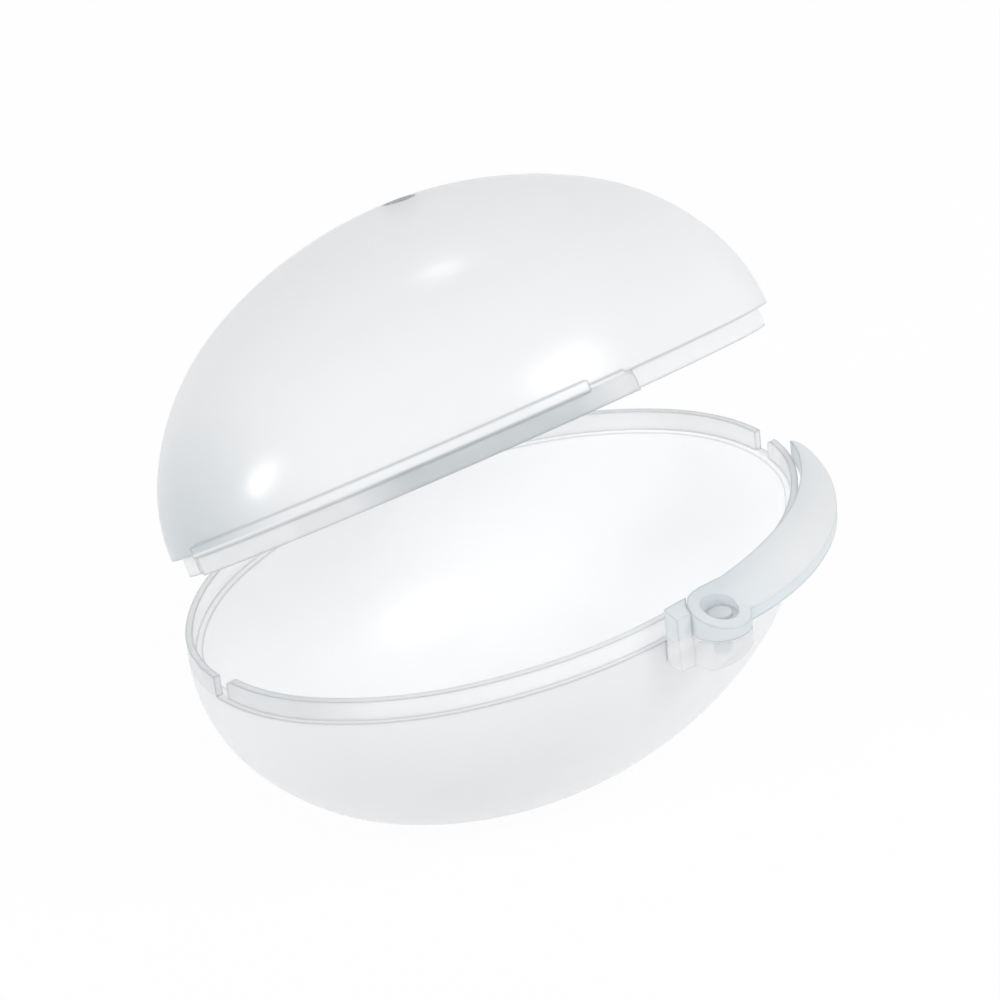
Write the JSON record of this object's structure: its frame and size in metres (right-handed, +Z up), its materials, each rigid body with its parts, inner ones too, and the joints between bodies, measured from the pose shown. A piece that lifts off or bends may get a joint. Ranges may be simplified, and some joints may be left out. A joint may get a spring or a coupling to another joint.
{
  "type": "pacifier sterilizer case",
  "caption": "Egg-shaped clear plastic case with a hinged domed lid, a bowl base on a flat foot and a crescent swing latch along its front rim, for steaming and carrying a pacifier.",
  "frame": {"origin": "centre of the flat foot under the bowl", "axes": "+X along the case towards the tip of the latch, +Y towards the lid's hinge, +Z up"},
  "size_m": [0.1136, 0.0927, 0.1006],
  "materials": {
    "base_plastic": "satin, see-through polypropylene, milky",
    "lid_plastic": "satin, see-through polypropylene",
    "latch_plastic": "satin polypropylene, milky",
    "pin_plastic": "plain moulded acetal"
  },
  "bodies": {
    "base": {"base_shell": "base_plastic", "latch_pin": "pin_plastic"},
    "lid": {"lid_shell": "lid_plastic", "hinge_pin": "pin_plastic"},
    "latch": {"latch": "latch_plastic"}
  },
  "joints": [
    {"name": "lid_hinge", "type": "hinge", "parent": "base", "child": "lid", "pos_m": [0, 0.0412, 0.0469], "axis": [-1, 0, 0], "range_deg": [-29.5, 70]},
    {"name": "latch_swing", "type": "hinge", "parent": "base", "child": "latch", "pos_m": [0.01, -0.04415, 0.0385], "axis": [0, 0, 1], "range_deg": [-100, 0]}
  ]
}
